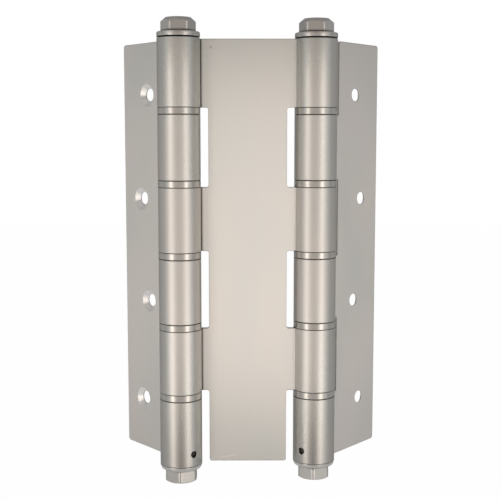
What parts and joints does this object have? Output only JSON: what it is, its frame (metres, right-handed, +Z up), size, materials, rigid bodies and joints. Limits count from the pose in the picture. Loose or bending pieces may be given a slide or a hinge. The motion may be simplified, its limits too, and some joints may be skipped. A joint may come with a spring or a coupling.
{
  "type": "double action spring hinge",
  "caption": "Double action cafe door hinge: a centre plate joins two sprung barrels, each carrying a screw-on leaf, so a door swings both ways and returns.",
  "frame": {"origin": "middle of the jamb leaf's mounting face, at mid height", "axes": "+Z up along the barrels; +Y out of the jamb leaf's mounting face; the jamb leaf runs towards -X from its barrel"},
  "size_m": [0.0849, 0.0972, 0.196],
  "materials": {
    "brushed_sheet": "satin, brushed along the barrels",
    "turned_steel": "satin, turned",
    "spring_steel": "dark, oiled",
    "plain_steel": "plain, drawn"
  },
  "bodies": {
    "jamb_leaf": {"jamb_leaf": "brushed_sheet"},
    "centre_plate": {"centre_plate": "brushed_sheet", "jamb_top_cap": "turned_steel", "jamb_torsion_spring": "spring_steel", "jamb_spindle": "plain_steel", "jamb_bearing_ring_1": "turned_steel", "jamb_bearing_ring_2": "turned_steel", "jamb_bearing_ring_3": "turned_steel", "jamb_bearing_ring_4": "turned_steel", "jamb_bearing_ring_5": "turned_steel", "door_top_cap": "turned_steel", "door_torsion_spring": "spring_steel", "door_spindle": "plain_steel", "door_bearing_ring_1": "turned_steel", "door_bearing_ring_2": "turned_steel", "door_bearing_ring_3": "turned_steel", "door_bearing_ring_4": "turned_steel", "door_bearing_ring_5": "turned_steel"},
    "door_leaf": {"door_leaf": "brushed_sheet"},
    "jamb_spring_adjuster": {"jamb_spring_adjuster": "turned_steel"},
    "door_spring_adjuster": {"door_spring_adjuster": "turned_steel"}
  },
  "joints": [
    {"name": "jamb_pivot", "type": "hinge", "parent": "jamb_leaf", "child": "centre_plate", "pos_m": [0.027, -0.0032, 0], "axis": [0, 0, 1], "range_deg": [-229.3, 40.7]},
    {"name": "door_pivot", "type": "hinge", "parent": "centre_plate", "child": "door_leaf", "pos_m": [0.06109, 0.04319, 0], "axis": [0, 0, 1], "range_deg": [-139.6, 130.4]},
    {"name": "jamb_spring_winding", "type": "hinge", "parent": "jamb_leaf", "child": "jamb_spring_adjuster", "pos_m": [0.027, -0.0032, 0], "axis": [0, 0, 1], "range_deg": [0, 360], "stiffness_Nm_per_rad": 0.35, "deforming": ["jamb_torsion_spring"]},
    {"name": "door_spring_winding", "type": "hinge", "parent": "door_leaf", "child": "door_spring_adjuster", "pos_m": [0.06109, 0.04319, 0], "axis": [0, 0, 1], "range_deg": [0, 360], "stiffness_Nm_per_rad": 0.35, "deforming": ["door_torsion_spring"]}
  ]
}
